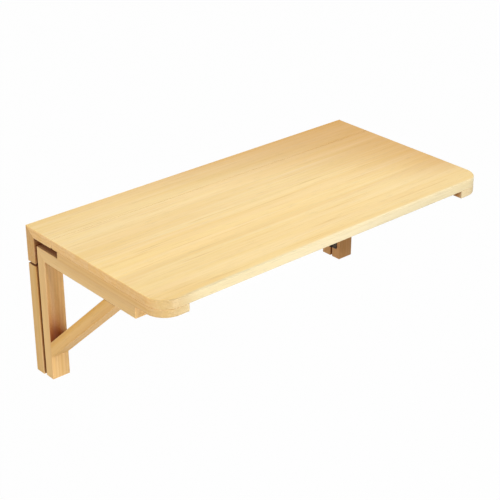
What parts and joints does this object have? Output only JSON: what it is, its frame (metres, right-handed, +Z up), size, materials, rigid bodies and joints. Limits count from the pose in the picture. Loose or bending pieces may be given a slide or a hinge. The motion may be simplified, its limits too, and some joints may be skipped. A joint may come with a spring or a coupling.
{
  "type": "wall mounted drop leaf table",
  "caption": "Pine wall table: a mitred shelf and rail on the wall, a hinged drop leaf with rounded front corners and end battens, and braced swing brackets that fold in.",
  "frame": {"origin": "centre of the wall rail's back face, on the wall", "axes": "+X along the wall to the right, +Y into the wall, +Z up; the leaf reaches out to -Y"},
  "size_m": [0.8, 0.4, 0.307],
  "materials": {
    "pine_top": "clear satin lacquer, grain along the wall",
    "pine_frame": "clear satin lacquer, grain along each member",
    "hinge_steel": "dark bronze plated steel",
    "screw_steel": "dark bronze plated steel",
    "dowel_beech": "raw beech"
  },
  "bodies": {
    "wall_frame": {"wall_rail": "pine_frame", "fixed_shelf": "pine_top", "left_wall_post": "pine_frame", "right_wall_post": "pine_frame", "left_leaf_hinge_shelf_plate": "hinge_steel", "left_leaf_hinge_pin": "hinge_steel", "middle_leaf_hinge_shelf_plate": "hinge_steel", "middle_leaf_hinge_pin": "hinge_steel", "right_leaf_hinge_shelf_plate": "hinge_steel", "right_leaf_hinge_pin": "hinge_steel", "left_upper_hinge_wall_plate": "hinge_steel", "left_upper_hinge_pin": "hinge_steel", "left_lower_hinge_wall_plate": "hinge_steel", "left_lower_hinge_pin": "hinge_steel", "right_upper_hinge_wall_plate": "hinge_steel", "right_upper_hinge_pin": "hinge_steel", "right_lower_hinge_wall_plate": "hinge_steel", "right_lower_hinge_pin": "hinge_steel", "shelf_screws": "screw_steel", "shelf_hinge_screws": "screw_steel", "left_post_hinge_screws": "screw_steel", "right_post_hinge_screws": "screw_steel"},
    "leaf": {"leaf_board": "pine_top", "left_batten": "pine_frame", "right_batten": "pine_frame", "left_leaf_hinge_leaf_plate": "hinge_steel", "middle_leaf_hinge_leaf_plate": "hinge_steel", "right_leaf_hinge_leaf_plate": "hinge_steel", "leaf_hinge_screws": "screw_steel", "left_batten_screws": "screw_steel", "right_batten_screws": "screw_steel"},
    "left_bracket": {"left_bracket_post": "pine_frame", "left_bracket_arm": "pine_frame", "left_bracket_brace": "pine_frame", "left_upper_hinge_bracket_plate": "hinge_steel", "left_lower_hinge_bracket_plate": "hinge_steel", "left_bracket_hinge_screws": "screw_steel", "left_bracket_dowels": "dowel_beech"},
    "right_bracket": {"right_bracket_post": "pine_frame", "right_bracket_arm": "pine_frame", "right_bracket_brace": "pine_frame", "right_upper_hinge_bracket_plate": "hinge_steel", "right_lower_hinge_bracket_plate": "hinge_steel", "right_bracket_hinge_screws": "screw_steel", "right_bracket_dowels": "dowel_beech"}
  },
  "joints": [
    {"name": "left_bracket_swing", "type": "hinge", "parent": "wall_frame", "child": "left_bracket", "pos_m": [-0.358, -0.0265, -0.1545], "axis": [0, 0, 1], "range_deg": [0, 90]},
    {"name": "right_bracket_swing", "type": "hinge", "parent": "wall_frame", "child": "right_bracket", "pos_m": [0.358, -0.0265, -0.1545], "axis": [0, 0, -1], "range_deg": [0, 90]},
    {"name": "leaf_lift", "type": "hinge", "parent": "wall_frame", "child": "leaf", "pos_m": [0, -0.0825, 0.016], "axis": [-1, 0, 0], "range_deg": [0, 1.2]}
  ]
}
